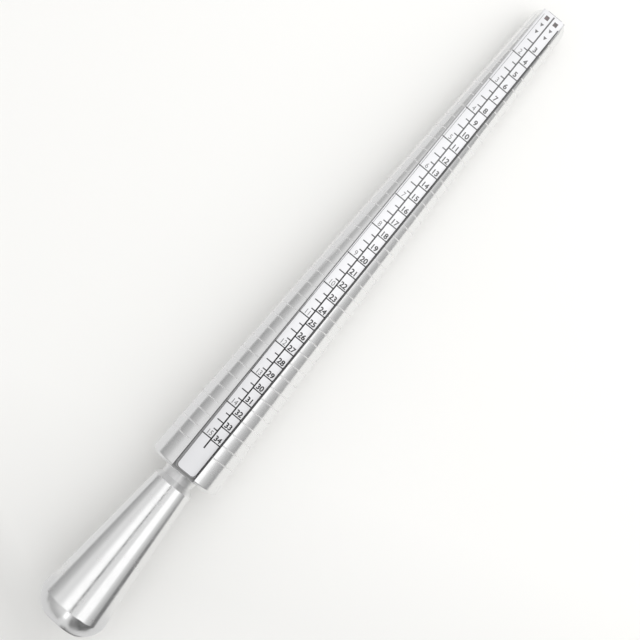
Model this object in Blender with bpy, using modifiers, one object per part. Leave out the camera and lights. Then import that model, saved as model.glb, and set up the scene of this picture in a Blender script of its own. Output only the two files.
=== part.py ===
# Ring mandrel: a tapered aluminium gauge that finger rings slide over to be
# measured, with a printed scale plate lying in a channel along its top.
# Metres, +Z up. It lies on a table as it would come to rest: on the side of
# its taper, channel upwards, tip towards +X and handle towards -X.
import math

import bmesh
import bpy
from mathutils import Matrix, Vector

# Taper, from the tip to the shoulder
TIP_DIAMETER = 0.01204
TIP_FACE_DIAMETER = 0.0060
TIP_ROUND_LENGTH = 0.0040
SHOULDER_DIAMETER = 0.02478
TAPER_LENGTH = 0.1866
SHOULDER_CHAMFER = 0.0009

# Rings turned into the taper, as V grooves
RING_PITCH = 0.00465
RING_WIDTH = 0.00040
RING_DEPTH = 0.00015
LAST_RING_FROM_SHOULDER = 0.0099
TIP_LEFT_PLAIN = 0.0070

# Neck between the shoulder and the handle
NECK_DIAMETER = 0.0110
NECK_LENGTH = 0.00495
NECK_FILLET = 0.0020

# Flared handle with a domed end and a small flat face
HANDLE_START_DIAMETER = 0.0140
HANDLE_START_CHAMFER = 0.0018
HANDLE_LENGTH = 0.04825
HANDLE_DIAMETER = 0.0233
HANDLE_DOME_LENGTH = 0.0062
HANDLE_FACE_DIAMETER = 0.0144
HANDLE_DOME_BULGE = 0.0008

# Channel milled along the top, and the scale plate in it
CHANNEL_WIDTH = 0.0084
CHANNEL_DEPTH = 0.00315
STRIP_WIDTH = 0.0077
STRIP_THICKNESS = 0.0009
STRIP_FROM_TIP = 0.0003
STRIP_FROM_SHOULDER = 0.0010
STRIP_TIP_CORNER = 0.0011
STRIP_SHOULDER_CORNER = 0.0012
SEAT_GAP = 0.0003

# Sides round the axis, and points along each rounded stretch
SIDES = 24
TIP_ROUND_STEPS = 5
FILLET_STEPS = 4
DOME_STEPS = 4
CORNER_SEGMENTS = 4
MERGE_DISTANCE = 0.00001
SHARP_ANGLE = math.radians(30)

# How far a cutter runs past what it cuts
CUT_MARGIN = 0.0020


def taper_radius(distance):
    """Radius of the plain taper at a distance from the tip."""
    growth = (SHOULDER_DIAMETER - TIP_DIAMETER) / 2 / TAPER_LENGTH
    return TIP_DIAMETER / 2 + growth * distance


def tip_outline():
    """The flat tip face and the elliptical round that joins it to the taper."""
    face = TIP_FACE_DIAMETER / 2
    reach = taper_radius(TIP_ROUND_LENGTH) - face
    points = [(0.0, 0.0)]
    for step in range(TIP_ROUND_STEPS + 1):
        turn = math.pi / 2 * step / TIP_ROUND_STEPS
        points.append((face + reach * math.sin(turn), TIP_ROUND_LENGTH * (1 - math.cos(turn))))
    return points


def ring_distances():
    """Distances of the turned rings from the tip, nearest to the tip first."""
    last = TAPER_LENGTH - LAST_RING_FROM_SHOULDER
    count = int((last - TIP_LEFT_PLAIN) / RING_PITCH) + 1
    return [last - RING_PITCH * index for index in reversed(range(count))]


def ring_outline(distance):
    """One V groove across the taper."""
    start = distance - RING_WIDTH / 2
    end = distance + RING_WIDTH / 2
    bottom = taper_radius(distance) - RING_DEPTH
    return [(taper_radius(start), start), (bottom, distance), (taper_radius(end), end)]


def neck_outline():
    """The shoulder's chamfer and face, a fillet at its foot, and the plain neck."""
    neck = NECK_DIAMETER / 2
    edge = TAPER_LENGTH - SHOULDER_CHAMFER
    points = [(taper_radius(edge), edge)]
    points.append((SHOULDER_DIAMETER / 2 - SHOULDER_CHAMFER, TAPER_LENGTH))
    for step in range(FILLET_STEPS + 1):
        turn = math.pi / 2 * step / FILLET_STEPS
        radius = neck + NECK_FILLET * (1 - math.sin(turn))
        points.append((radius, TAPER_LENGTH + NECK_FILLET * (1 - math.cos(turn))))
    points.append((neck, TAPER_LENGTH + NECK_LENGTH - HANDLE_START_CHAMFER))
    return points


def handle_outline():
    """The handle's chamfered start, its flare, and the dome down to its end face."""
    start = TAPER_LENGTH + NECK_LENGTH
    rim = Vector((HANDLE_DIAMETER / 2, start + HANDLE_LENGTH))
    face = Vector((HANDLE_FACE_DIAMETER / 2, rim.y + HANDLE_DOME_LENGTH))
    outwards = (face - rim).orthogonal().normalized()
    if outwards.x < 0:
        outwards.negate()
    points = [(HANDLE_START_DIAMETER / 2, start)]
    for step in range(DOME_STEPS + 1):
        share = step / DOME_STEPS
        bulge = HANDLE_DOME_BULGE * math.sin(math.pi * share)
        points.append(tuple(rim.lerp(face, share) + outwards * bulge))
    points.append((0.0, face.y))
    return points


def body_outline():
    """Half section of the whole bar as radius and distance from the tip."""
    points = tip_outline()
    for distance in ring_distances():
        points += ring_outline(distance)
    return points + neck_outline() + handle_outline()


def new_material(name, colour, roughness, metallic):
    material = bpy.data.materials.new(name)
    material.use_nodes = True
    shader = material.node_tree.nodes["Principled BSDF"]
    shader.inputs["Base Color"].default_value = (*colour, 1.0)
    shader.inputs["Roughness"].default_value = roughness
    shader.inputs["Metallic"].default_value = metallic
    return material


def new_object(name, mesh, collection, parent):
    piece = bpy.data.objects.new(name, mesh)
    collection.objects.link(piece)
    piece.parent = parent
    return piece


def new_frame(name, collection, parent=None):
    frame = new_object(name, None, collection, parent)
    frame.empty_display_size = NECK_DIAMETER
    return frame


def box_mesh(name, low, high):
    """A box between two corners, with its origin at (0, 0, 0)."""
    shape = bmesh.new()
    bmesh.ops.create_cube(shape, size=1.0)
    size = high - low
    middle = (low + high) / 2
    shape.transform(Matrix.Translation(middle) @ Matrix.Diagonal((*size, 1.0)))
    mesh = bpy.data.meshes.new(name)
    shape.to_mesh(mesh)
    shape.free()
    return mesh


def freeze_modifiers(piece):
    """Turn the modifiers' result into the mesh, smooth with sharp corners."""
    graph = bpy.context.evaluated_depsgraph_get()
    mesh = bpy.data.meshes.new_from_object(piece.evaluated_get(graph))
    mesh.name = piece.name
    piece.modifiers.clear()
    piece.data = mesh
    mesh.shade_smooth()
    mesh.set_sharp_from_angle(angle=SHARP_ANGLE)


def lying_angle():
    """Slope of the lowest side of the taper against its axis."""
    flat_share = math.cos(math.pi / SIDES)
    return math.atan((SHOULDER_DIAMETER - TIP_DIAMETER) / 2 * flat_share / TAPER_LENGTH)


def make_axis_frame(collection):
    """Turning axis: origin at the tip face, +Z out of the tip, +X downwards."""
    axis = new_frame("mandrel_axis", collection)
    tilt = lying_angle()
    flat_radius = TIP_DIAMETER / 2 * math.cos(math.pi / SIDES)
    axis.location = (0.0, 0.0, flat_radius * math.cos(tilt))
    axis.rotation_euler = (0.0, math.pi / 2 + tilt, 0.0)
    return axis


def make_bed_frame(collection, axis):
    """Top line of the taper: origin at the tip, +X towards the tip, +Z outwards."""
    bed = new_frame("scale_bed", collection, axis)
    taper_angle = math.atan((SHOULDER_DIAMETER - TIP_DIAMETER) / 2 / TAPER_LENGTH)
    bed.location = (-TIP_DIAMETER / 2, 0.0, 0.0)
    bed.rotation_euler = (0.0, taper_angle - math.pi / 2, 0.0)
    return bed


def make_body(collection, axis):
    """The bar, turned about its axis with one flat side straight down."""
    mesh = bpy.data.meshes.new("mandrel_body")
    outline = [(radius, 0.0, -distance) for radius, distance in body_outline()]
    edges = [(index, index + 1) for index in range(len(outline) - 1)]
    mesh.from_pydata(outline, edges, [])
    body = new_object("mandrel_body", mesh, collection, axis)
    body.rotation_euler = (0.0, 0.0, math.pi / SIDES)
    turning = body.modifiers.new("turning", "SCREW")
    turning.axis = "Z"
    turning.angle = 2 * math.pi
    turning.steps = SIDES
    turning.render_steps = SIDES
    turning.use_merge_vertices = True
    turning.merge_threshold = MERGE_DISTANCE
    return body


def make_channel_cutter(collection, bed):
    """The milled channel: open at the tip and at the shoulder's face."""
    half = CHANNEL_WIDTH / 2
    top = SHOULDER_DIAMETER / 2
    low = Vector((-TAPER_LENGTH - CUT_MARGIN, -half, -CHANNEL_DEPTH))
    high = Vector((CUT_MARGIN, half, top))
    cutter = new_object("channel_cutter", box_mesh("channel_cutter", low, high), collection, bed)
    cutter.hide_render = True
    cutter.display_type = "WIRE"
    return cutter


def cut_channel(body, cutter):
    milling = body.modifiers.new("channel", "BOOLEAN")
    milling.operation = "DIFFERENCE"
    milling.solver = "EXACT"
    milling.object = cutter


def round_corners(shape, at_tip, radius):
    """Round the two upright edges at one end of the plate."""
    end = max(vertex.co.x for vertex in shape.verts)
    if not at_tip:
        end = min(vertex.co.x for vertex in shape.verts)
    corners = []
    for edge in shape.edges:
        upright = abs(edge.verts[0].co.z - edge.verts[1].co.z) > STRIP_THICKNESS / 2
        if upright and abs(edge.verts[0].co.x - end) < MERGE_DISTANCE:
            corners.append(edge)
    bmesh.ops.bevel(
        shape, geom=corners, offset=radius, segments=CORNER_SEGMENTS, profile=0.5, affect="EDGES"
    )


def make_strip(collection, bed):
    """The scale plate, lying in the channel a seat gap above its floor."""
    half = STRIP_WIDTH / 2
    floor = SEAT_GAP - CHANNEL_DEPTH
    low = Vector((STRIP_FROM_SHOULDER - TAPER_LENGTH, -half, floor))
    high = Vector((-STRIP_FROM_TIP, half, floor + STRIP_THICKNESS))
    mesh = box_mesh("scale_strip", low, high)
    shape = bmesh.new()
    shape.from_mesh(mesh)
    round_corners(shape, True, STRIP_TIP_CORNER)
    round_corners(shape, False, STRIP_SHOULDER_CORNER)
    shape.to_mesh(mesh)
    shape.free()
    strip = new_object("scale_strip", mesh, collection, bed)
    mesh.shade_smooth()
    mesh.set_sharp_from_angle(angle=SHARP_ANGLE)
    return strip


def centre_on_origin(axis, pieces):
    """Slide the part along X until its box is centred on the origin."""
    bpy.context.view_layer.update()
    reach = []
    for piece in pieces:
        reach += [(piece.matrix_world @ vertex.co).x for vertex in piece.data.vertices]
    axis.location.x -= (min(reach) + max(reach)) / 2


def main():
    for old in list(bpy.data.objects):
        bpy.data.objects.remove(old, do_unlink=True)
    parts = bpy.data.collections.new("ring_mandrel")
    cutters = bpy.data.collections.new("cutters")
    bpy.context.scene.collection.children.link(parts)
    bpy.context.scene.collection.children.link(cutters)

    axis = make_axis_frame(parts)
    bed = make_bed_frame(parts, axis)
    body = make_body(parts, axis)
    cut_channel(body, make_channel_cutter(cutters, bed))
    freeze_modifiers(body)
    strip = make_strip(parts, bed)

    body.data.materials.clear()
    body.data.materials.append(new_material("turned_aluminium", (0.80, 0.80, 0.81), 0.25, 1.0))
    strip.data.materials.append(new_material("printed_plastic", (0.93, 0.94, 0.96), 0.40, 0.0))
    centre_on_origin(axis, [body, strip])


main()
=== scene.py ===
import math

import bmesh
import bpy
from mathutils import Matrix, Vector


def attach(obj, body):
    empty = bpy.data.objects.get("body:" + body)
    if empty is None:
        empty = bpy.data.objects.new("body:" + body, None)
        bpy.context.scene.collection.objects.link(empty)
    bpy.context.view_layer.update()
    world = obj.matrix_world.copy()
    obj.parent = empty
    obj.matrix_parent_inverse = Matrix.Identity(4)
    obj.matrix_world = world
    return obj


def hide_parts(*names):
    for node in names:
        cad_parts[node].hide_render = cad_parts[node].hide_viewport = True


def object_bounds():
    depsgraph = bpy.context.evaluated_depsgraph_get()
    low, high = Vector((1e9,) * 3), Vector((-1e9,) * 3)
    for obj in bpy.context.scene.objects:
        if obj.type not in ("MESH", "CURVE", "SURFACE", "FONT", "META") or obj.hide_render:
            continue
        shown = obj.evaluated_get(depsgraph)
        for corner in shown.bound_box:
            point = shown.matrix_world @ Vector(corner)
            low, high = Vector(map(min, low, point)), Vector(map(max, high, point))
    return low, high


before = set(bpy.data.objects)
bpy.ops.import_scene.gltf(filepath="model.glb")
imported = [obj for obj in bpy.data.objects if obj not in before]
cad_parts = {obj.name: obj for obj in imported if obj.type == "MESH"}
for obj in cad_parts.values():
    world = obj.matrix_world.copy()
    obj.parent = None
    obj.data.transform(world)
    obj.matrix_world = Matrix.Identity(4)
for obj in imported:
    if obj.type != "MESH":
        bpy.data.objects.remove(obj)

cadLow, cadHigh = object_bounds()
mm = 0.001


# The bar's own frame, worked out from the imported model's box

# all lengths here run along the bar's axis from its tip, or out from that axis
bar = {
    "sides": 24,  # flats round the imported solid, one of them on the table
    "tipRadius": 6.02 * mm,
    "tipFaceRadius": 3.0 * mm,
    "tipRound": 4.0 * mm,
    "shoulderRadius": 12.39 * mm,
    "taperLength": 186.6 * mm,
    "shoulderChamfer": 0.9 * mm,
    "neckRadius": 5.5 * mm,
    "neckLength": 4.95 * mm,
    "neckFillet": 2.0 * mm,
    "handleStartRadius": 7.0 * mm,
    "handleStartChamfer": 1.8 * mm,
    "handleRadius": 11.65 * mm,
    "handleLength": 48.25 * mm,
    "domeLength": 6.2 * mm,
    "domeBulge": 0.8 * mm,
    "endFaceRadius": 7.2 * mm,
}
channel = {"width": 8.4 * mm, "depth": 3.15 * mm, "overrun": 2.0 * mm}
turning = {
    "steps": 160,
    "ringPitch": 4.65 * mm,
    "ringWidth": 0.44 * mm,
    "ringDepth": 0.13 * mm,
    "lastRing": 176.7 * mm,
    "tipLeftPlain": 7.0 * mm,
    "crown": 0.012 * mm,  # a land between two rings stands a little proud at its middle
    "landSteps": 4,
    "flankSteps": 8,
    "roundSteps": 10,
    "edgeBreak": 0.15 * mm,
    "faceBreak": 0.6 * mm,
    "mergeDistance": 0.001 * mm,
    "smoothBelow": 28,  # degrees
}
ringCount = int((turning["lastRing"] - turning["tipLeftPlain"]) / turning["ringPitch"]) + 1

growth = (bar["shoulderRadius"] - bar["tipRadius"]) / bar["taperLength"]
flatShare = math.cos(math.pi / bar["sides"])
lying = math.atan(growth * flatShare)  # how far the axis leans on its lowest flat
tipHeight = bar["tipRadius"] * flatShare * math.cos(lying)
channelTop = bar["tipRadius"] - channel["depth"]
tipPlace = Vector((cadHigh.x - channelTop * math.sin(lying), 0.0, tipHeight))

# turned shapes are drawn with +Z out of the tip, and the scale with +X towards the tip
axisFrame = Matrix.Translation(tipPlace) @ Matrix.Rotation(math.pi / 2 + lying, 4, "Y")
bedFrame = (
    axisFrame
    @ Matrix.Translation((-bar["tipRadius"], 0.0, 0.0))
    @ Matrix.Rotation(math.atan(growth) - math.pi / 2, 4, "Y")
)
axisDirection = (axisFrame.to_3x3() @ Vector((0, 0, 1))).normalized()
print("frame ready, tip at", [round(v, 5) for v in tipPlace])


# Small helpers for objects and node trees

nodeSpacing = 220
nodesPerRow = 10


def addObject(name, mesh):
    piece = bpy.data.objects.new(name, mesh)
    bpy.context.scene.collection.objects.link(piece)
    return piece


def meshFrom(name, shape):
    mesh = bpy.data.meshes.new(name)
    shape.to_mesh(mesh)
    shape.free()
    return mesh


def raiseFaces(shape, faces, height):  # a flat drawing becomes a closed plate
    lifted = bmesh.ops.extrude_face_region(shape, geom=faces)
    top = [item for item in lifted["geom"] if isinstance(item, bmesh.types.BMVert)]
    bmesh.ops.translate(shape, verts=top, vec=(0, 0, height))
    bmesh.ops.recalc_face_normals(shape, faces=shape.faces)


def bakeModifiers(piece):  # modifiers become plain mesh, placed in the part's own frame
    graph = bpy.context.evaluated_depsgraph_get()
    mesh = bpy.data.meshes.new_from_object(piece.evaluated_get(graph))
    mesh.name = piece.name
    mesh.transform(piece.matrix_world)
    piece.modifiers.clear()
    piece.data = mesh
    piece.matrix_world = Matrix.Identity(4)


def feed(tree, node, inputs):  # a value is set, a socket is linked
    for name, value in inputs.items():
        if isinstance(value, bpy.types.NodeSocket):
            tree.links.new(value, node.inputs[name])
        else:
            node.inputs[name].default_value = value


def addNode(tree, kind, inputs=None, **settings):
    row, column = divmod(len(tree.nodes), nodesPerRow)
    node = tree.nodes.new(kind)
    node.location = (nodeSpacing * column, -nodeSpacing * row)
    for name, value in settings.items():
        setattr(node, name, value)
    feed(tree, node, inputs or {})
    return node


def calculate(tree, operation, *values):
    return addNode(tree, "ShaderNodeMath", dict(enumerate(values)), operation=operation).outputs[0]


def calculateVector(tree, operation, *values):
    return addNode(tree, "ShaderNodeVectorMath", dict(enumerate(values)), operation=operation).outputs


def scaleVector(tree, vector, scale):
    return addNode(tree, "ShaderNodeVectorMath", {0: vector, "Scale": scale}, operation="SCALE").outputs[0]


def joinVector(tree, x=0.0, y=0.0, z=0.0):
    return addNode(tree, "ShaderNodeCombineXYZ", {"X": x, "Y": y, "Z": z}).outputs[0]


def splitVector(tree, vector):
    return addNode(tree, "ShaderNodeSeparateXYZ", {0: vector}).outputs


# Materials

shoulderX = (axisFrame @ Vector((0, 0, -bar["taperLength"]))).x


def startMaterial(name):
    material = bpy.data.materials.new(name)
    material.use_nodes = True
    tree = material.node_tree
    place = addNode(tree, "ShaderNodeTexCoord").outputs["Object"]
    return material, tree, tree.nodes["Principled BSDF"], place


def addNoise(tree, place, scale, detail, roughness=0.5):
    inputs = {"Vector": place, "Scale": scale, "Detail": detail, "Roughness": roughness}
    return addNode(tree, "ShaderNodeTexNoise", inputs).outputs["Fac"]


def mapRange(tree, value, start, end, least=0.0, most=1.0):
    inputs = {"Value": value, "From Min": start, "From Max": end, "To Min": least, "To Max": most}
    return addNode(tree, "ShaderNodeMapRange", inputs).outputs["Result"]


def mixColours(tree, share, first, second, **settings):
    inputs = {"Factor": share, "A": first, "B": second}
    return addNode(tree, "ShaderNodeMix", inputs, data_type="RGBA", **settings).outputs["Result"]


def addBump(tree, height, strength, distance):
    inputs = {"Height": height, "Strength": strength, "Distance": distance}
    return addNode(tree, "ShaderNodeBump", inputs).outputs["Normal"]


def greyRamp(tree, stops, share, tint=(1.0, 1.0, 1.0)):
    ramp = addNode(tree, "ShaderNodeValToRGB", {"Fac": share})
    elements = ramp.color_ramp.elements
    for index, (where, level) in enumerate(stops):
        stop = elements[index] if index < 2 else elements.new(where)
        stop.position = where
        stop.color = (*[level * part for part in tint], 1.0)
    return ramp.outputs["Color"]


def greysAlong(tree, stops, place, tint=(1.0, 1.0, 1.0)):  # 0 at the shoulder, 1 at the tip
    share = mapRange(tree, splitVector(tree, place)["X"], shoulderX, tipPlace.x)
    return greyRamp(tree, stops, share, tint)


metalLook = {
    "colour": (0.85, 0.85, 0.85, 1.0),
    "neckShadeAndHighlight": (  # painted shade and a painted highlight across the recess, from one side to the other
        (0.0, 0.95), (0.12, 0.90), (0.20, 0.72), (0.34, 0.65), (0.40, 0.80),
        (0.46, 0.97), (0.52, 0.82), (0.62, 0.80), (0.80, 0.95),
    ),
    "neckMargin": 0.15 * mm,
    "neckRougher": 0.3,
    # painted glint: the rings' metal is whiter than the rest
    "ringGlintColour": (1.0, 1.0, 1.0, 1.0),
    "ringRougher": 0.35,
    "roughness": 0.24,
    "anisotropic": 0.75,
    "markScale": 3600.0,  # lathe marks a metre
    "markDetail": 3.0,
    "markRoughness": 0.7,
    "markDepth": 0.0012 * mm,
    "smearScale": 260.0,
    "smearDetail": 4.0,
    "smearRoughness": 0.6,
    "smearRange": (0.3, 0.7),  # the part of the noise that shows
    "smearAmount": 0.05,
}


def makeTurnedAluminium(look):
    material, tree, shader, place = startMaterial("turnedAluminium")
    fromTip = calculateVector(tree, "SUBTRACT", place, tipPlace)["Vector"]
    distance = calculateVector(tree, "DOT_PRODUCT", fromTip, axisDirection)["Value"]

    # marks run round the axis, so they follow the distance along it
    marks = addNode(tree, "ShaderNodeTexNoise", {
        "W": distance,
        "Scale": look["markScale"],
        "Detail": look["markDetail"],
        "Roughness": look["markRoughness"],
    }, noise_dimensions="1D")

    # the neck and the rings are rougher, as the tool left them, and the rest is polished; the rings' whiter metal is a
    # painted glint, and the greys across the neck are painted shade with a painted highlight
    neckMiddle = -bar["taperLength"] - bar["neckLength"] / 2
    inNeck = calculate(tree, "COMPARE", distance, neckMiddle, bar["neckLength"] / 2 - look["neckMargin"])
    half = turning["ringPitch"] / 2
    fromLast = calculate(tree, "ADD", distance, turning["lastRing"])
    near = calculate(tree, "ABSOLUTE", calculate(tree, "WRAP", fromLast, half, -half))
    inRing = calculate(tree, "LESS_THAN", near, turning["ringWidth"] / 2)
    span = turning["ringPitch"] * (ringCount - 1) / 2
    amongRings = calculate(tree, "COMPARE", fromLast, span, span + half / 2)
    ringed = calculate(tree, "MULTIPLY", inRing, amongRings)
    rings = mixColours(tree, ringed, look["colour"], look["ringGlintColour"])
    side = mapRange(tree, splitVector(tree, place)["Y"], -bar["neckRadius"], bar["neckRadius"])
    colour = mixColours(tree, inNeck, rings, greyRamp(tree, look["neckShadeAndHighlight"], side))

    # handling leaves faint smears in the polish
    smear = addNoise(tree, place, look["smearScale"], look["smearDetail"], look["smearRoughness"])
    least, most = look["roughness"] - look["smearAmount"], look["roughness"] + look["smearAmount"]
    polish = mapRange(tree, smear, *look["smearRange"], least, most)
    coarser = calculate(tree, "MULTIPLY_ADD", inNeck, look["neckRougher"], polish)

    # the polish blurs across the marks: along the bar, or outwards on an end face
    around = calculateVector(tree, "CROSS_PRODUCT", axisDirection, fromTip)["Vector"]
    normal = addNode(tree, "ShaderNodeNewGeometry").outputs["Normal"]
    across = calculateVector(tree, "CROSS_PRODUCT", around, normal)["Vector"]
    feed(tree, shader, {
        "Metallic": 1.0,
        "Anisotropic": look["anisotropic"],
        "Base Color": colour,
        "Roughness": calculate(tree, "MULTIPLY_ADD", ringed, look["ringRougher"], coarser),
        "Normal": addBump(tree, marks.outputs["Fac"], 1.0, look["markDepth"]),
        "Tangent": calculateVector(tree, "NORMALIZE", across)["Vector"],
    })
    return material


plasticLook = {
    # painted light along the plate: lighter in the middle as a painted highlight, darker towards both ends as painted
    # shade, most at the shoulder
    "levels": ((0.0, 0.75), (0.18, 0.80), (0.36, 0.885), (0.50, 0.90), (0.70, 0.86), (0.88, 0.80)),
    "tint": (1.0, 1.0, 1.02),
    "patchScale": 90.0,
    "patchDetail": 3.0,
    "patchy": 0.03,
    "roughness": 0.34,
    "gloss": 0.45,
    "grainScale": 900.0,
    "grainDetail": 2.0,
    "grainStrength": 0.4,
    "grainDepth": 0.004 * mm,
}


def makePrintedPlastic(look):
    material, tree, shader, place = startMaterial("printedPlastic")
    # the greys along the plate are a painted highlight in the middle and painted shade towards the ends
    colour = greysAlong(tree, look["levels"], place, look["tint"])
    patchNoise = addNoise(tree, place, look["patchScale"], look["patchDetail"])
    patches = mapRange(tree, patchNoise, 0.0, 1.0, 1.0 - look["patchy"])
    grain = addNoise(tree, place, look["grainScale"], look["grainDetail"])
    feed(tree, shader, {
        "Roughness": look["roughness"],
        "Specular IOR Level": look["gloss"],
        "Base Color": mixColours(tree, 1.0, colour, patches, blend_type="MULTIPLY"),
        "Normal": addBump(tree, grain, look["grainStrength"], look["grainDepth"]),
    })
    return material


inkLook = {
    "roughness": 0.45,
    "gloss": 0.3,
    "spotScale": 2600.0,
    "spotDetail": 3.0,
    "spotRoughness": 0.65,
    "spotRange": (0.5, 0.75),
    "wornColour": (0.5, 0.49, 0.49, 1.0),
}


def makeInk(name, levels, wear=0.5, wornColour=inkLook["wornColour"]):  # a grey ink whose grey changes along the plate as painted sheen, mostly paler towards the tip, and paler where it has worn
    material, tree, shader, place = startMaterial(name)
    colour = greysAlong(tree, levels, place)
    spots = addNoise(tree, place, inkLook["spotScale"], inkLook["spotDetail"], inkLook["spotRoughness"])
    worn = mapRange(tree, spots, *inkLook["spotRange"], 0.0, wear)
    feed(tree, shader, {
        "Roughness": inkLook["roughness"],
        "Specular IOR Level": inkLook["gloss"],
        "Base Color": mixColours(tree, worn, colour, wornColour),
    })
    return material


# the glue's greys are painted shade in the seam round the plate
glueLook = {
    "nearSideShade": ((0.0, 0.26), (0.004, 0.26), (0.009, 0.11), (0.95, 0.24), (0.975, 0.60)),
    "farSideShade": ((0.0, 0.26), (0.004, 0.26), (0.009, 0.13), (0.60, 0.30), (0.95, 0.60), (0.975, 0.70)),
    "halfWidth": 3.0 * mm,
    "roughness": 0.5,
    "gloss": 0.3,
}


def makeGlueFilm(look):  # painted shade in the seam: darker on one side of the plate, lighter at its ends
    material, tree, shader, place = startMaterial("glueFilmPaintedShade")
    near = greysAlong(tree, look["nearSideShade"], place)
    far = greysAlong(tree, look["farSideShade"], place)
    side = mapRange(tree, splitVector(tree, place)["Y"], -look["halfWidth"], look["halfWidth"])
    feed(tree, shader, {
        "Roughness": look["roughness"],
        "Specular IOR Level": look["gloss"],
        "Base Color": mixColours(tree, side, near, far),
    })
    return material


metal = makeTurnedAluminium(metalLook)
plastic = makePrintedPlastic(plasticLook)
glueFilmPaintedShade = makeGlueFilm(glueLook)
# each ink's greys along the plate are painted sheen
blackInk = makeInk("blackInk", ((0.18, 0.012), (0.33, 0.02), (0.45, 0.06), (0.55, 0.13), (0.9, 0.15)), 0.1)
greyInk = makeInk("greyInk", ((0.2, 0.14), (0.6, 0.18)), 0.3)
faintInk = makeInk("faintInk", ((0.0, 0.12), (0.3, 0.17), (0.5, 0.26)))
borderInk = makeInk("borderInk", ((0.0, 0.24), (0.3, 0.32)), 0.2)
bandInkAndShade = makeInk("bandInkAndShade", ((0.2, 0.045), (0.6, 0.065)), 0.1)
trimInk = makeInk("trimInk", ((0.0, 0.09), (0.3, 0.16)), 0.1)
redInk = makeInk("redInk", ((0.0, 0.16), (0.9, 0.14)), 0.7, (0.55, 0.28, 0.30, 1.0))
print("materials ready")


# The turned bar: a node tree spins its half section, presses the rings in and mills the channel


def taperRadius(along):
    return bar["tipRadius"] + growth * along


def arcPoints(centre, size, start, end, steps):  # quarter rounds and parts of them
    points = []
    for step in range(steps + 1):
        turn = start + (end - start) * step / steps
        points.append((centre[0] + size[0] * math.cos(turn), centre[1] + size[1] * math.sin(turn)))
    return points


def easedCorner(before, corner, after, reach):  # a corner given way to a short curve
    corner = Vector(corner)
    back = (Vector(before) - corner).normalized() * reach
    on = (Vector(after) - corner).normalized() * reach
    first, last = corner + back, corner + on
    curve = [first.lerp(corner, s / 4).lerp(corner.lerp(last, s / 4), s / 4) for s in range(5)]
    return [tuple(point) for point in [first + back / 2] + curve + [last + on / 2]]  # the ends keep long faces even


def tipSection():
    reach = taperRadius(bar["tipRound"]) - bar["tipFaceRadius"]
    middle = (bar["tipFaceRadius"], bar["tipRound"])
    return [(0.0, 0.0)] + arcPoints(middle, (reach, bar["tipRound"]), -math.pi / 2, 0, turning["roundSteps"])


def taperSection():  # plain so far, with a point wherever a ring starts, bottoms and ends
    half = turning["ringWidth"] / 2
    land = turning["ringPitch"] - turning["ringWidth"]
    points = []
    for index in reversed(range(ringCount)):
        middle = turning["lastRing"] - turning["ringPitch"] * index
        stops = [middle - half, middle, middle + half]
        if index:
            stops += [middle + half + land * s / turning["landSteps"] for s in range(1, turning["landSteps"])]
        points += [(taperRadius(along), along) for along in stops]
    return points


def neckSection():
    length = bar["taperLength"]
    start = (taperRadius(length - bar["shoulderChamfer"]), length - bar["shoulderChamfer"])
    end = (bar["shoulderRadius"] - bar["shoulderChamfer"], length)
    foot = (bar["neckRadius"] + bar["neckFillet"], length + bar["neckFillet"])
    points = easedCorner((taperRadius(0), 0), start, end, turning["edgeBreak"])
    points += easedCorner(start, end, (bar["neckRadius"], length), turning["edgeBreak"])
    points += arcPoints(foot, (bar["neckFillet"],) * 2, -math.pi / 2, -math.pi, turning["roundSteps"])
    return points


def handleSection():
    start = bar["taperLength"] + bar["neckLength"]
    rim = Vector((bar["handleRadius"], start + bar["handleLength"]))
    face = Vector((bar["endFaceRadius"], rim.y + bar["domeLength"]))
    outwards = Vector((face.y - rim.y, rim.x - face.x)).normalized()
    flare = (bar["neckRadius"], start - bar["handleStartChamfer"])
    corner = (bar["handleStartRadius"], start)
    points = [flare] + easedCorner(flare, corner, rim, turning["edgeBreak"])
    for step in range(1, turning["flankSteps"]):
        share = step / turning["flankSteps"]
        radius = bar["handleStartRadius"] + (bar["handleRadius"] - bar["handleStartRadius"]) * share
        points.append((radius, start + bar["handleLength"] * share))
    dome = []
    for step in range(turning["roundSteps"] + 1):
        share = step / turning["roundSteps"]
        bulge = bar["domeBulge"] * math.sin(math.pi * share)
        dome.append(rim.lerp(face, share) + outwards * bulge)
    middle = (0.0, face.y)
    points += easedCorner(corner, rim, dome[1], turning["edgeBreak"]) + dome[1:-1]
    return points + easedCorner(dome[-2], face, middle, turning["faceBreak"]) + [middle]


def newTree(name, sockets):
    tree = bpy.data.node_groups.new(name, "GeometryNodeTree")
    tree.interface.new_socket("Geometry", in_out="OUTPUT", socket_type="NodeSocketGeometry")
    identifiers = {}
    for label, kind in sockets.items():
        socket = tree.interface.new_socket(label, in_out="INPUT", socket_type="NodeSocket" + kind)
        identifiers[label] = socket.identifier
    return tree, identifiers, addNode(tree, "NodeGroupInput").outputs


def finishTree(tree, geometry, given):
    real = addNode(tree, "GeometryNodeRealizeInstances", {"Geometry": geometry}).outputs[0]
    paint = addNode(tree, "GeometryNodeSetMaterial", {"Geometry": real, "Material": given["Material"]})
    addNode(tree, "NodeGroupOutput", {"Geometry": paint.outputs[0]})


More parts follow.
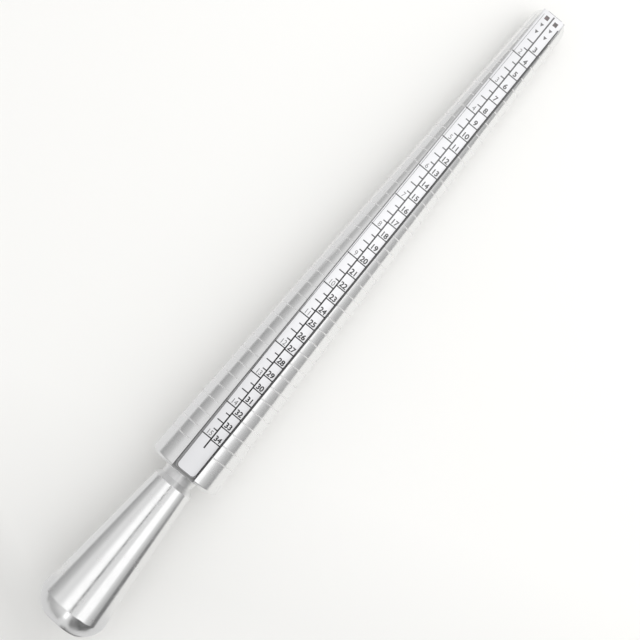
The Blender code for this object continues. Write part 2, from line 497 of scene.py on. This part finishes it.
def makeBarTree():
    tree, identifiers, given = newTree("turnedBar", {
        "Section": "Geometry",
        "Steps": "Int",
        "Ring Pitch": "Float",
        "Ring Width": "Float",
        "Ring Depth": "Float",
        "Rings": "Int",
        "Last Ring": "Float",
        "Crown": "Float",
        "Merge Distance": "Float",
        "Tip Radius": "Float",
        "Taper Length": "Float",
        "Taper Angle": "Float",
        "Channel Width": "Float",
        "Channel Depth": "Float",
        "Overrun": "Float",
        "Material": "Material",
    })

    # each row of a grid becomes one turn of the section, by the row's number
    size = addNode(tree, "GeometryNodeAttributeDomainSize", {"Geometry": given["Section"]})
    points = size.outputs["Point Count"]
    sheet = addNode(tree, "GeometryNodeMeshGrid", {
        "Vertices X": calculate(tree, "ADD", given["Steps"], 1),
        "Vertices Y": points,
    })
    number = addNode(tree, "GeometryNodeInputIndex").outputs[0]
    turns = calculate(tree, "FLOOR", calculate(tree, "DIVIDE", number, points))
    angle = calculate(tree, "MULTIPLY", calculate(tree, "DIVIDE", turns, given["Steps"]), 2 * math.pi)
    sample = addNode(tree, "GeometryNodeSampleIndex", {
        "Geometry": given["Section"],
        "Value": addNode(tree, "GeometryNodeInputPosition").outputs[0],
        "Index": calculate(tree, "MODULO", number, points),
    }, data_type="FLOAT_VECTOR", domain="POINT")
    parts = splitVector(tree, sample.outputs[0])
    along = calculate(tree, "MULTIPLY", parts["Z"], -1)

    # how far a point is from the middle of the nearest ring
    halfWidth = calculate(tree, "MULTIPLY", given["Ring Width"], 0.5)
    halfPitch = calculate(tree, "MULTIPLY", given["Ring Pitch"], 0.5)
    fromLast = calculate(tree, "SUBTRACT", given["Last Ring"], along)
    wrapped = calculate(tree, "WRAP", fromLast, halfPitch, calculate(tree, "MULTIPLY", halfPitch, -1))
    near = calculate(tree, "ABSOLUTE", wrapped)

    # a V-shaped groove at the ring, and a slight crown on the land between two rings
    filled = calculate(tree, "DIVIDE", near, halfWidth)
    deep = calculate(tree, "MAXIMUM", calculate(tree, "SUBTRACT", 1, filled), 0)
    groove = calculate(tree, "MULTIPLY", deep, given["Ring Depth"])
    onLand = calculate(tree, "MAXIMUM", calculate(tree, "SUBTRACT", near, halfWidth), 0)
    share = calculate(tree, "DIVIDE", onLand, calculate(tree, "SUBTRACT", halfPitch, halfWidth))
    swell = calculate(tree, "MULTIPLY", share, calculate(tree, "SUBTRACT", 2, share))
    change = calculate(tree, "SUBTRACT", calculate(tree, "MULTIPLY", swell, given["Crown"]), groove)

    # only between the first ring and the last
    reach = calculate(tree, "MULTIPLY", given["Ring Pitch"], given["Rings"])
    before = calculate(tree, "LESS_THAN", fromLast, calculate(tree, "SUBTRACT", reach, halfPitch))
    after = calculate(tree, "GREATER_THAN", fromLast, calculate(tree, "MULTIPLY", halfWidth, -1))
    ringed = calculate(tree, "MULTIPLY", before, after)
    radius = calculate(tree, "ADD", parts["X"], calculate(tree, "MULTIPLY", change, ringed))
    outX = calculate(tree, "MULTIPLY", radius, calculate(tree, "COSINE", angle))
    outY = calculate(tree, "MULTIPLY", radius, calculate(tree, "SINE", angle))
    spun = addNode(tree, "GeometryNodeSetPosition", {
        "Geometry": sheet.outputs["Mesh"],
        "Position": joinVector(tree, outX, outY, parts["Z"]),
    })
    closed = addNode(tree, "GeometryNodeMergeByDistance", {
        "Geometry": spun.outputs["Geometry"],
        "Distance": given["Merge Distance"],
    })

    # the milling cutter stands on the channel's floor, parallel to the taper's side
    cutLength = calculate(tree, "ADD", given["Taper Length"], calculate(tree, "MULTIPLY", given["Overrun"], 2))
    cutHeight = calculate(tree, "ADD", given["Channel Depth"], given["Channel Width"])
    cutter = addNode(tree, "GeometryNodeMeshCube", {
        "Size": joinVector(tree, cutLength, given["Channel Width"], cutHeight),
    })
    cutX = calculate(tree, "MULTIPLY", given["Taper Length"], -0.5)
    cutZ = calculate(tree, "SUBTRACT", calculate(tree, "MULTIPLY", cutHeight, 0.5), given["Channel Depth"])
    slid = addNode(tree, "GeometryNodeTransform", {
        "Geometry": cutter.outputs["Mesh"],
        "Translation": joinVector(tree, cutX, 0.0, cutZ),
    })
    leaned = addNode(tree, "GeometryNodeTransform", {
        "Geometry": slid.outputs["Geometry"],
        "Rotation": joinVector(tree, y=calculate(tree, "SUBTRACT", given["Taper Angle"], math.pi / 2)),
        "Translation": joinVector(tree, calculate(tree, "MULTIPLY", given["Tip Radius"], -1)),
    })
    milled = addNode(tree, "GeometryNodeMeshBoolean", {
        "Mesh 1": closed.outputs["Geometry"],
        "Mesh 2": leaned.outputs["Geometry"],
    }, operation="DIFFERENCE", solver="EXACT")
    finishTree(tree, milled.outputs["Mesh"], given)
    return tree, identifiers


def runTree(name, tree, identifiers, values, place, base=None):
    piece = addObject(name, base or bpy.data.meshes.new(name))
    piece.matrix_world = place
    nodes = piece.modifiers.new("nodes", "NODES")
    nodes.node_group = tree
    for label, value in values.items():
        nodes[identifiers[label]] = value
    bpy.context.view_layer.update()
    bakeModifiers(piece)
    return piece


def makeBar():
    section = tipSection() + taperSection() + neckSection() + handleSection()
    mesh = bpy.data.meshes.new("halfSection")
    mesh.from_pydata([(radius, 0.0, -along) for radius, along in section], [], [])
    tree, identifiers = makeBarTree()
    piece = runTree("turnedBar", tree, identifiers, {
        "Steps": turning["steps"],
        "Ring Pitch": turning["ringPitch"],
        "Ring Width": turning["ringWidth"],
        "Ring Depth": turning["ringDepth"],
        "Rings": ringCount,
        "Last Ring": turning["lastRing"],
        "Crown": turning["crown"],
        "Merge Distance": turning["mergeDistance"],
        "Tip Radius": bar["tipRadius"],
        "Taper Length": bar["taperLength"],
        "Taper Angle": math.atan(growth),
        "Channel Width": channel["width"],
        "Channel Depth": channel["depth"],
        "Overrun": channel["overrun"],
        "Material": metal,
    }, axisFrame, mesh)
    piece.data.shade_smooth()
    piece.data.set_sharp_from_angle(angle=math.radians(turning["smoothBelow"]))
    return piece


turnedBar = makeBar()
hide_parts("mandrel_body")
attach(turnedBar, "root")
print("turned bar ready,", len(turnedBar.data.polygons), "faces")


# The scale plate, lying on the channel's floor

plate = {
    "width": 7.7 * mm,
    "thickness": 0.9 * mm,
    "fromTip": 0.3 * mm,
    "fromShoulder": 1.0 * mm,
    "tipCorner": 1.1 * mm,
    "shoulderCorner": 1.2 * mm,
    "cornerSteps": 8,
    "edge": 0.10 * mm,
    "roundedAbove": 60,  # degrees
    "smoothBelow": 35,
    "seatGap": 0.3 * mm,
}
plateFloor = plate["seatGap"] - channel["depth"]
plateTop = plateFloor + plate["thickness"]


def makePlate():
    half = plate["width"] / 2
    left = plate["fromShoulder"] - bar["taperLength"]
    right = -plate["fromTip"]
    outline = []
    for x, y, radius, start in (
        (right, half, plate["tipCorner"], 0),
        (left, half, plate["shoulderCorner"], 90),
        (left, -half, plate["shoulderCorner"], 180),
        (right, -half, plate["tipCorner"], 270),
    ):
        centre = (x - math.copysign(radius, x - (left + right) / 2), y - math.copysign(radius, y))
        begin = math.radians(start)
        outline += arcPoints(centre, (radius, radius), begin, begin + math.pi / 2, plate["cornerSteps"])
    shape = bmesh.new()
    base = shape.faces.new([shape.verts.new((x, y, plateFloor)) for x, y in outline])
    raiseFaces(shape, [base], plate["thickness"])
    sharpest = math.radians(plate["roundedAbove"])
    rims = [edge for edge in shape.edges if abs(edge.calc_face_angle(0)) > sharpest]
    bmesh.ops.bevel(shape, geom=rims, offset=plate["edge"], segments=2, profile=0.5, affect="EDGES")
    mesh = meshFrom("scalePlate", shape)
    mesh.transform(bedFrame)
    mesh.shade_smooth()
    mesh.set_sharp_from_angle(angle=math.radians(plate["smoothBelow"]))
    mesh.materials.append(plastic)
    return addObject("scalePlate", mesh)


glue = {"sideGap": 0.02 * mm, "belowTop": 0.15 * mm, "fromTip": 0.5 * mm, "fromShoulder": 0.15 * mm}


def makeGlueLayer():  # lies under the plate and fills the seam round it, so the plate is bedded in it
    half = channel["width"] / 2 - glue["sideGap"]
    low = Vector((glue["fromShoulder"] - bar["taperLength"], -half, -channel["depth"]))
    high = Vector((-glue["fromTip"], half, plateTop - glue["belowTop"]))
    shape = bmesh.new()
    bmesh.ops.create_cube(shape, size=1.0)
    shape.transform(Matrix.Translation((low + high) / 2) @ Matrix.Diagonal((*(high - low), 1.0)))
    mesh = meshFrom("glueLayer", shape)
    mesh.transform(bedFrame)
    mesh.materials.append(glueFilmPaintedShade)
    return addObject("glueLayer", mesh)


glueLayer = makeGlueLayer()
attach(glueLayer, "root")
scalePlate = makePlate()
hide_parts("scale_strip")
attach(scalePlate, "root")
print("scale plate ready")


# Print on the plate: lines, marks and numbers come from node trees

ink = {
    "height": 0.02 * mm,
    "figureHeight": 0.03 * mm,
    "line": 0.35 * mm,
    "middleLine": 0.46 * mm,
    "edge": plate["width"] / 2 - 0.12 * mm,  # no line runs off the plate
    "aside": -0.14 * mm,  # the print sits a little off the plate's middle
    "askew": 0.0,
}
# the first column is pitched by the maker, the second by the inside diameter of each size
fineColumn = {
    "first": 3,
    "count": 32,
    "pitch": 5.11 * mm,
    "zeroFromTip": -0.86 * mm,
    "figuresAcross": -1.75 * mm,
    "narrow": 1.0,
    "stroke": 0.07 * mm,
}
sizeColumn = {
    "first": 2,
    "count": 14,
    "zeroDiameter": 11.63 * mm,
    "diameterStep": 0.8128 * mm,
    "figuresAcross": 1.65 * mm,
    "narrow": 0.88,
    "stroke": 0.0,
}
sizePitch = sizeColumn["diameterStep"] / 2 / growth
sizeZero = (sizeColumn["zeroDiameter"] / 2 - bar["tipRadius"]) / growth
digits = {
    "height": 1.68 * mm,
    "fontShare": 0.69,  # height of a figure as a share of the type size
    "aboveLine": 0.5 * mm,
}
rowSockets = {"Count": "Int", "First": "Float", "Pitch": "Float", "Across": "Float", "Height": "Float"}
printSockets = {"Askew": "Float", "Aside": "Float", "Edge": "Float", "Material": "Material"}


def finishPrint(tree, geometry, given):  # turned a little, then held inside the plate's edge
    real = addNode(tree, "GeometryNodeRealizeInstances", {"Geometry": geometry})
    turned = addNode(tree, "GeometryNodeTransform", {
        "Geometry": real.outputs["Geometry"],
        "Rotation": joinVector(tree, z=calculate(tree, "MULTIPLY", given["Askew"], -1)),
        "Translation": joinVector(tree, y=given["Aside"]),
    })
    parts = splitVector(tree, addNode(tree, "GeometryNodeInputPosition").outputs[0])
    least = calculate(tree, "MULTIPLY", given["Edge"], -1)
    held = calculate(tree, "MAXIMUM", calculate(tree, "MINIMUM", parts["Y"], given["Edge"]), least)
    kept = addNode(tree, "GeometryNodeSetPosition", {
        "Geometry": turned.outputs["Geometry"],
        "Position": joinVector(tree, parts["X"], held, parts["Z"]),
    })
    finishTree(tree, kept.outputs["Geometry"], given)


def finishRow(tree, mark, given, turned=None):  # equal marks, stepping away from the tip
    row = addNode(tree, "GeometryNodeMeshLine", {
        "Count": given["Count"],
        "Start Location": joinVector(tree, calculate(tree, "MULTIPLY", given["First"], -1), given["Across"]),
        "Offset": joinVector(tree, calculate(tree, "MULTIPLY", given["Pitch"], -1)),
    }, mode="OFFSET")
    copies = addNode(tree, "GeometryNodeInstanceOnPoints", {
        "Points": row.outputs["Mesh"],
        "Instance": mark.outputs["Mesh"],
    })
    if turned is not None:
        feed(tree, copies, {"Rotation": turned})
    finishPrint(tree, copies.outputs["Instances"], given)


def makeLineTree():  # flat bars across the plate
    sockets = {**rowSockets, "Length": "Float", "Width": "Float", **printSockets}
    tree, identifiers, given = newTree("scaleLines", sockets)
    size = joinVector(tree, given["Width"], given["Length"], given["Height"])
    finishRow(tree, addNode(tree, "GeometryNodeMeshCube", {"Size": size}), given)
    return tree, identifiers


def makeMarkTree():  # plain prisms, three- or four-cornered, that mark which column is which
    sockets = {**rowSockets, "Corners": "Int", "Radius": "Float", "Turn": "Float", **printSockets}
    tree, identifiers, given = newTree("columnMarks", sockets)
    mark = addNode(tree, "GeometryNodeMeshCylinder", {
        "Vertices": given["Corners"],
        "Radius": given["Radius"],
        "Depth": given["Height"],
    }, fill_type="NGON")
    finishRow(tree, mark, given, joinVector(tree, z=given["Turn"]))
    return tree, identifiers


def makeNumberTree():  # whole numbers in order, each standing on its own line
    sockets = {"First Number": "Int", "Size": "Float", "Narrow": "Float", "Stroke": "Float"}
    tree, identifiers, given = newTree("scaleNumbers", {**rowSockets, **sockets, **printSockets})
    begin = addNode(tree, "GeometryNodeRepeatInput")
    end = addNode(tree, "GeometryNodeRepeatOutput")
    begin.pair_with_output(end)
    end.repeat_items.clear()
    end.repeat_items.new("GEOMETRY", "Numbers")
    end.repeat_items.new("INT", "Index")
    feed(tree, begin, {"Iterations": given["Count"]})

    # the outline of each figure, made heavier by the stroke
    number = calculate(tree, "ADD", begin.outputs["Index"], given["First Number"])
    whole = addNode(tree, "FunctionNodeFloatToInt", {0: number}, rounding_mode="ROUND")
    words = addNode(tree, "FunctionNodeValueToString", {0: whole.outputs[0]}, data_type="INT")
    letters = addNode(tree, "GeometryNodeStringToCurves", {
        "String": words.outputs["String"],
        "Size": given["Size"],
    }, align_x="CENTER")
    outlines = addNode(tree, "GeometryNodeRealizeInstances", {"Geometry": letters.outputs["Curve Instances"]})
    points = addNode(tree, "GeometryNodeResampleCurve", {"Curve": outlines.outputs["Geometry"]}, mode="EVALUATED")
    heading = addNode(tree, "GeometryNodeInputTangent").outputs[0]
    outwards = calculateVector(tree, "CROSS_PRODUCT", heading, (0.0, 0.0, 1.0))["Vector"]
    heavier = addNode(tree, "GeometryNodeSetPosition", {
        "Geometry": points.outputs["Curve"],
        "Offset": scaleVector(tree, outwards, given["Stroke"]),
    })

    # filled, raised and closed underneath
    filled = addNode(tree, "GeometryNodeFillCurve", {"Curve": heavier.outputs["Geometry"]}, mode="NGONS")
    raised = addNode(tree, "GeometryNodeExtrudeMesh", {
        "Mesh": filled.outputs["Mesh"],
        "Offset Scale": given["Height"],
        "Individual": False,
    }, mode="FACES")
    under = addNode(tree, "GeometryNodeFlipFaces", {"Mesh": filled.outputs["Mesh"]})
    both = addNode(tree, "GeometryNodeJoinGeometry", {"Geometry": raised.outputs["Mesh"]})
    feed(tree, both, {"Geometry": under.outputs["Mesh"]})
    figure = addNode(tree, "GeometryNodeMergeByDistance", {
        "Geometry": both.outputs["Geometry"],
        "Distance": turning["mergeDistance"],
    })

    down = calculate(tree, "MULTIPLY_ADD", begin.outputs["Index"], given["Pitch"], given["First"])
    placed = addNode(tree, "GeometryNodeTransform", {
        "Geometry": figure.outputs["Geometry"],
        "Translation": joinVector(tree, calculate(tree, "MULTIPLY", down, -1), given["Across"]),
        "Rotation": (0.0, 0.0, -math.pi / 2),
        "Scale": joinVector(tree, given["Narrow"], 1.0, 1.0),
    })
    gather = addNode(tree, "GeometryNodeJoinGeometry", {"Geometry": begin.outputs["Numbers"]})
    feed(tree, gather, {"Geometry": placed.outputs["Geometry"]})
    feed(tree, end, {
        "Numbers": gather.outputs["Geometry"],
        "Index": calculate(tree, "ADD", begin.outputs["Index"], 1),
    })
    finishPrint(tree, end.outputs["Numbers"], given)
    return tree, identifiers


lineTree, lineInputs = makeLineTree()
markTree, markInputs = makeMarkTree()
numberTree, numberInputs = makeNumberTree()


def fineLineAt(number):
    return fineColumn["zeroFromTip"] + fineColumn["pitch"] * number


def sizeLineAt(number):
    return sizeZero + sizePitch * number


def addPrint(name, tree, identifiers, values):
    laid = {
        "Askew": ink["askew"],
        "Aside": ink["aside"],
        "Edge": ink["edge"],
        "Height": ink["height"] * 2,
        **values,
    }
    piece = runTree(name, tree, identifiers, laid, bedFrame @ Matrix.Translation((0, 0, plateTop)))
    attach(piece, "root")


def addLines(name, count, first, pitch, across, length, width=ink["line"], material=blackInk, **others):
    addPrint(name, lineTree, lineInputs, {
        "Count": count,
        "First": first,
        "Pitch": pitch,
        "Across": across,
        "Length": length,
        "Width": width,
        "Material": material,
        **others,
    })


def addNumbers(name, column, first, pitch, material):
    addPrint(name, numberTree, numberInputs, {
        "Count": column["count"],
        "First Number": column["first"],
        "First": first - digits["aboveLine"],
        "Pitch": pitch,
        "Across": column["figuresAcross"],
        "Size": digits["height"] / digits["fontShare"],
        "Narrow": column["narrow"],
        "Stroke": column["stroke"],
        "Height": ink["figureHeight"],
        "Material": material,
    })


def addMarks(name, mark, across, material):
    addPrint(name, markTree, markInputs, {
        "Corners": mark["corners"],
        "Radius": mark["radius"],
        "Turn": mark["turn"],
        "Count": mark["count"],
        "First": mark["fromTip"],
        "Pitch": mark["pitch"],
        "Across": across,
        "Material": material,
    })


ticks = {
    "column": 4.4 * mm,  # cut off at the plate's edge
    "half": 2.45 * mm,
    "quarter": 1.55 * mm,
    "middleStart": 0.9 * mm,
    "middleEnd": 176.2 * mm,
}
halfColumn = ticks["column"] / 2
middleOfLine = (ticks["middleStart"] + ticks["middleEnd"]) / 2
quarterCount = 2 * sizeColumn["count"] - 1
firstFine = fineLineAt(fineColumn["first"])
firstSize = sizeLineAt(sizeColumn["first"])
firstHalf = sizeLineAt(sizeColumn["first"] - 1 / 2)
firstQuarter = sizeLineAt(sizeColumn["first"] - 1 / 4)
addLines("fineLines", fineColumn["count"], firstFine, fineColumn["pitch"], -halfColumn, ticks["column"])
addLines("sizeLines", sizeColumn["count"], firstSize, sizePitch, halfColumn, ticks["column"])
addLines("halfTicks", sizeColumn["count"], firstHalf, sizePitch, ticks["half"] / 2, ticks["half"])
addLines("quarterTicks", quarterCount, firstQuarter, sizePitch / 2, ticks["quarter"] / 2, ticks["quarter"])
addLines("middleLine", 1, middleOfLine, mm, 0.0, ink["middleLine"], ticks["middleEnd"] - ticks["middleStart"])
addNumbers("fineNumbers", fineColumn, firstFine, fineColumn["pitch"], blackInk)
addNumbers("sizeNumbers", sizeColumn, firstSize, sizePitch, faintInk)

squareMark = {"corners": 4, "radius": 1.0 * mm, "turn": math.pi / 4, "count": 1, "fromTip": 2.6 * mm, "pitch": mm}
arrowMark = {"corners": 3, "radius": 0.75 * mm, "turn": math.pi, "count": 2, "fromTip": 5.3 * mm, "pitch": 2.8 * mm}
marksAcross = {"fine": -1.75 * mm, "size": 1.7 * mm}
for side, across in marksAcross.items():
    addMarks(side + "Square", squareMark, across, redInk)
    addMarks(side + "Arrows", arrowMark, across, greyInk)

# a dark band along one edge of the plate, a printed border darkened by painted shade of the channel's wall, and a thin
# line along the other
plateEdge = plate["width"] / 2 - 0.02 * mm
edgeBand = {"start": 3.5 * mm, "end": 184.4 * mm, "width": 0.30 * mm, "across": 0.15 * mm - plateEdge, "askew": 0.0}
edgeLine = {"start": 2.0 * mm, "end": 150.0 * mm, "width": 0.14 * mm, "across": 3.12 * mm, "askew": 0.0036}
# the thin grey line across the plate's tip end is painted shade of the plate's end edge
endLine = {"fromTip": 0.42 * mm, "across": 0.10 * mm, "length": 5.4 * mm, "width": 0.10 * mm}


def addEdgeLine(name, line, material):
    middle = (line["start"] + line["end"]) / 2
    held = {"Askew": line["askew"], "Aside": 0.0, "Edge": plateEdge}
    addLines(name, 1, middle, mm, line["across"], line["width"], line["end"] - line["start"], material, **held)


addEdgeLine("edgeBand", edgeBand, bandInkAndShade)
addEdgeLine("edgeLine", edgeLine, faintInk)
addLines("endLine", 1, endLine["fromTip"], mm, endLine["across"], endLine["length"], endLine["width"], greyInk)

# the grey border turns round the plate's last corners and widens along its far edge
border = {"start": -118.0 * mm, "corner": 1.15 * mm, "cornerSteps": 8}
# how far each outline stays from the plate's edge: where it starts, along each side and at the end
borderOutside = {"start": 0.04 * mm, "far": 0.04 * mm, "near": 0.04 * mm, "end": 0.04 * mm}
borderInside = {"start": 0.07 * mm, "far": 0.66 * mm, "near": 0.32 * mm, "end": 0.16 * mm}
borderTrim = {
    "start": 0.10 * mm,
    "far": borderInside["far"] + 0.12 * mm,
    "near": borderInside["near"] + 0.08 * mm,
    "end": borderInside["end"] + 0.10 * mm,
}


def borderPath(inset):  # along the far edge, round both corners, back a little
    left = plate["fromShoulder"] - bar["taperLength"]
    half = plate["width"] / 2
    corner = border["corner"]
    path = [(border["start"], half - inset["start"])]
    for y, quarter in ((half - inset["far"], 90), (inset["near"] - half, 180)):
        middle = (left + inset["end"] + corner, y - math.copysign(corner, y))
        begin = math.radians(quarter)
        path += arcPoints(middle, (corner, corner), begin, math.radians(quarter + 90), border["cornerSteps"])
    return path


def addRibbon(name, outer, inner, material):
    shape = bmesh.new()
    rows = [[shape.verts.new((x, y, plateTop)) for x, y in borderPath(side)] for side in (outer, inner)]
    flat = []
    for index in range(len(rows[0]) - 1):
        flat.append(shape.faces.new((rows[0][index], rows[0][index + 1], rows[1][index + 1], rows[1][index])))
    raiseFaces(shape, flat, ink["height"])
    mesh = meshFrom(name, shape)
    mesh.transform(bedFrame)
    mesh.materials.append(material)
    piece = addObject(name, mesh)
    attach(piece, "root")


addRibbon("cornerBorder", borderOutside, borderInside, borderInk)
addRibbon("cornerTrim", borderInside, borderTrim, trimInk)
print("print ready")


# The studio: a pale table, soft light, and the darker things that the metal mirrors

studio = {
    "floorSize": 6.0,
    "floorColour": (0.900, 0.896, 0.878),
    "floorRoughness": 0.8,
    "floorShadeFades": (  # painted shade on the floor, darker towards the handle's end: a direction, where the fade starts and ends along it, and the share left
        ((-0.947, -0.320, 0.0), 0.050, 0.095, 0.94),
        ((-0.900, 0.436, 0.0), 0.115, 0.125, 0.91),
    ),
    "roomLight": 0.82,
    "keyPlace": (0.47, -0.27, 0.40),
    "keySize": (1.40, 1.40),
    "keyPower": 5.1,
    "white": (1.0, 1.0, 1.0, 1.0),
}
# what the metal mirrors, by height and a little by side: brighter towards the tip
mirrored = {
    "lean": 0.2,
    "levels": (
        (0.0, 0.43), (0.19, 0.51), (0.33, 0.58), (0.44, 0.73), (0.55, 0.83), (0.77, 0.80), (0.85, 0.93), (0.915, 1.20),
    ),
}
# middle of each card, the way it faces, its size and its brightness
down = (0.0, 0.0, -1.0)
up = (0.0, 0.0, 1.0)
forwards = (0.0, 1.0, 0.0)
fromCorner = (0.1055, 0.0573, 0.0)
mirroredCards = {
    "overheadCard": ((-0.1033, -0.0252, 0.46), down, (0.52, 0.05), 0.03),
    "ceilingCard": ((-0.10, -0.133, 0.46), down, (0.50, 0.175), 0.80),
    "windowCard": ((0.09, -0.235, 0.275), (0.0, 0.235, -0.26), (0.52, 0.18), 1.22),
    "lowCard": ((-0.120, -0.13, 0.0195), forwards, (0.09, 0.038), 0.18),
    "cornerCard": ((-0.167, -0.0883, 0.026), (0.047, 0.0883, 0.0), (0.05, 0.05), 0.12),
    "darkCard": ((-0.2003, -0.0892, 0.071), (0.0803, 0.0892, 0.0), (0.0425, 0.128), 0.07),
    "greyCard": ((-0.2255, -0.0573, 0.095), fromCorner, (0.040, 0.126), 0.22),
    "paleCard": ((-0.2255, -0.0573, 0.0165), fromCorner, (0.040, 0.031), 0.42),
    "farGlowCard": ((-0.348, -0.005, 0.213), (0.23, 0.005, -0.193), (0.06, 0.07), 2.1),
    "endCard": ((-0.50, -0.025, 0.12), (1.0, 0.0, 0.0), (0.15, 0.26), 0.74),
    # the next three cards lie on the floor and are darker than it, so the metal mirrors them as the floor in shade;
    # the first is a painted shadow under the handle's end
    "endShadowCard": ((-0.155, -0.0078, 0.002), up, (0.05, 0.0095), 0.05),
    "floorCard": ((-0.2225, 0.02, 0.001), up, (0.215, 0.32), 0.72),
    "sideFloorCard": ((0.01, 0.13, 0.001), up, (0.24, 0.22), 0.80),
    "farSkirtingCard": ((-0.09, 0.10, 0.012), (0.0, -1.0, 0.0), (0.24, 0.024), 0.40),
    "skirtingCard": ((0.15, -0.20, 0.010), forwards, (0.50, 0.02), 0.36),
}
cardTurns = {"overheadCard": 15.2}  # degrees


def makeFloor():
    shape = bmesh.new()
    bmesh.ops.create_grid(shape, x_segments=1, y_segments=1, size=studio["floorSize"] / 2)
    lowest = min((turnedBar.matrix_world @ v.co).z for v in turnedBar.data.vertices)
    bmesh.ops.translate(shape, verts=shape.verts, vec=(0, 0, lowest))
    floor = addObject("floor", meshFrom("floor", shape))
    material, tree, shader, place = startMaterial("paleFloor")
    # painted shade: the floor's colour darkens along each fade
    left = 1.0
    for direction, start, end, share in studio["floorShadeFades"]:
        along = calculateVector(tree, "DOT_PRODUCT", place, direction)["Value"]
        left = calculate(tree, "MULTIPLY", left, mapRange(tree, along, start, end, 1.0, share))
    feed(tree, shader, {
        "Roughness": studio["floorRoughness"],
        "Specular IOR Level": 0.0,
        "Base Color": scaleVector(tree, studio["floorColour"], left),
    })
    floor.data.materials.append(material)


def makeGlow(name, level):
    material = bpy.data.materials.new(name)
    material.use_nodes = True
    tree = material.node_tree
    tree.nodes.clear()
    glow = addNode(tree, "ShaderNodeEmission", {"Color": (level, level, level, 1.0)})
    addNode(tree, "ShaderNodeOutputMaterial", {"Surface": glow.outputs[0]})
    return material


def addMirroredCard(name, middle, facing, size, level):  # only the gloss of the object shows it
    shape = bmesh.new()
    bmesh.ops.create_grid(shape, x_segments=1, y_segments=1, size=0.5)
    faced = Vector(facing).to_track_quat("Z", "Y").to_matrix().to_4x4()
    turn = Matrix.Rotation(math.radians(cardTurns.get(name, 0)), 4, "Z")
    shape.transform(Matrix.Translation(middle) @ turn @ faced @ Matrix.Diagonal((*size, 1.0, 1.0)))
    piece = addObject(name, meshFrom(name, shape))
    piece.data.materials.append(makeGlow(name + "Glow", level))
    piece.visible_camera = False
    piece.visible_diffuse = False
    piece.visible_shadow = False
    piece.visible_transmission = False


def makeWorld():  # the camera sees white, the gloss sees the room's levels, the rest is lit evenly
    world = bpy.data.worlds.new("softRoom")
    bpy.context.scene.world = world
    world.use_nodes = True
    tree = world.node_tree
    tree.nodes.clear()
    place = addNode(tree, "ShaderNodeTexCoord").outputs["Generated"]
    height = calculateVector(tree, "DOT_PRODUCT", place, (mirrored["lean"], 0.0, 1.0))["Value"]
    room = addNode(tree, "ShaderNodeBackground", {"Color": greyRamp(tree, mirrored["levels"], height)})
    soft = addNode(tree, "ShaderNodeBackground", {"Color": studio["white"], "Strength": studio["roomLight"]})
    white = addNode(tree, "ShaderNodeBackground", {"Color": studio["white"]})
    rays = addNode(tree, "ShaderNodeLightPath").outputs
    gloss = addNode(tree, "ShaderNodeMixShader", {
        "Fac": rays["Is Glossy Ray"],
        1: soft.outputs[0],
        2: room.outputs[0],
    })
    seen = addNode(tree, "ShaderNodeMixShader", {
        "Fac": rays["Is Camera Ray"],
        1: gloss.outputs[0],
        2: white.outputs[0],
    })
    addNode(tree, "ShaderNodeOutputWorld", {"Surface": seen.outputs[0]})


def addSoftLight(name, place, size, power):
    lamp = bpy.data.lights.new(name, "AREA")
    lamp.shape = "RECTANGLE"
    lamp.size = size[0]
    lamp.size_y = size[1]
    lamp.energy = power
    light = addObject(name, lamp)
    light.location = place
    light.rotation_euler = (-Vector(place)).to_track_quat("-Z", "Y").to_euler()
    light.visible_camera = False
    light.visible_glossy = False


camera = {
    "place": Vector((-0.01402, 0.00791, 0.45126)),
    "aim": Vector((0.00077, -0.00347, 0.0)),
    "upwards": Vector((0.77411, 0.63298, 0.00940)),
    "sensor": 36.0,
    "lens": 78.75,
    "nearest": 0.01,
}


def makeCamera():
    lens = bpy.data.cameras.new("photoCamera")
    lens.sensor_width = camera["sensor"]
    lens.lens = camera["lens"]
    lens.clip_start = camera["nearest"]
    viewer = addObject("photoCamera", lens)
    back = (camera["place"] - camera["aim"]).normalized()
    right = camera["upwards"].cross(back).normalized()
    turned = Matrix((right, back.cross(right), back)).transposed().to_4x4()
    viewer.matrix_world = Matrix.Translation(camera["place"]) @ turned
    bpy.context.scene.camera = viewer


makeFloor()
makeWorld()
addSoftLight("keyLight", studio["keyPlace"], studio["keySize"], studio["keyPower"])
for name, card in mirroredCards.items():
    addMirroredCard(name, *card)
makeCamera()
bpy.context.scene.view_settings.view_transform = "Standard"
print("studio ready")
